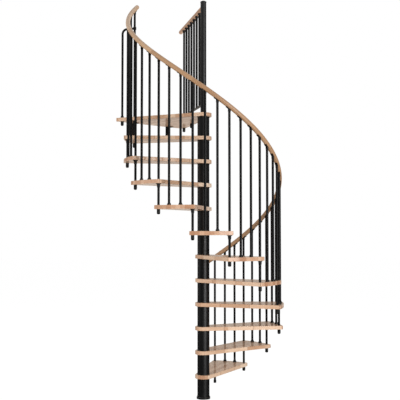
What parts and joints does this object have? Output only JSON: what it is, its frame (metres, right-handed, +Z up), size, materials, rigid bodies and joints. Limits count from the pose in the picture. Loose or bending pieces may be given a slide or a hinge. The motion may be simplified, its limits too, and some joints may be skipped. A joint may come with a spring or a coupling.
{
  "type": "spiral staircase",
  "caption": "Spiral staircase with wedge-shaped wooden treads on a black steel column, thin black balusters, a round wooden handrail and a corner landing with a guard.",
  "frame": {"origin": "centre of the base flange's underside, on the column's axis at floor level", "axes": "+Z up along the column; the viewer of the picture looks along +Y, and the flight climbs clockwise seen from above"},
  "size_m": [1.631, 1.6771, 3.8351],
  "materials": {
    "black_steel": "satin powder coat",
    "black_plastic": "satin",
    "tread_wood": "satin lacquer",
    "rail_wood": "satin lacquer"
  },
  "bodies": {
    "root": {"base_flange": "black_steel", "spindle": "black_steel", "spacer_sleeves": "black_steel", "balusters_01": "black_steel", "balusters_02": "black_steel", "balusters_03": "black_steel", "balusters_04": "black_steel", "balusters_05": "black_steel", "balusters_06": "black_steel", "balusters_07": "black_steel", "balusters_08": "black_steel", "balusters_09": "black_steel", "balusters_10": "black_steel", "balusters_11": "black_steel", "guard_balusters": "black_steel", "guard_bar": "black_steel", "corner_tie": "black_steel", "slab_bracket_1": "black_steel", "slab_bracket_2": "black_steel", "rail_plates": "black_steel", "post_cap": "black_plastic", "baluster_cups": "black_plastic", "corner_sleeves": "black_plastic", "baluster_feet": "black_plastic", "tread_01": "tread_wood", "tread_02": "tread_wood", "tread_03": "tread_wood", "tread_04": "tread_wood", "tread_05": "tread_wood", "tread_06": "tread_wood", "tread_07": "tread_wood", "tread_08": "tread_wood", "tread_09": "tread_wood", "tread_10": "tread_wood", "tread_11": "tread_wood", "landing": "tread_wood", "handrail_01": "rail_wood", "handrail_02": "rail_wood", "handrail_03": "rail_wood", "handrail_04": "rail_wood", "handrail_05": "rail_wood", "handrail_06": "rail_wood", "handrail_07": "rail_wood", "handrail_08": "rail_wood", "handrail_09": "rail_wood", "handrail_10": "rail_wood", "handrail_ends": "rail_wood", "guard_handrail": "rail_wood"}
  },
  "joints": []
}
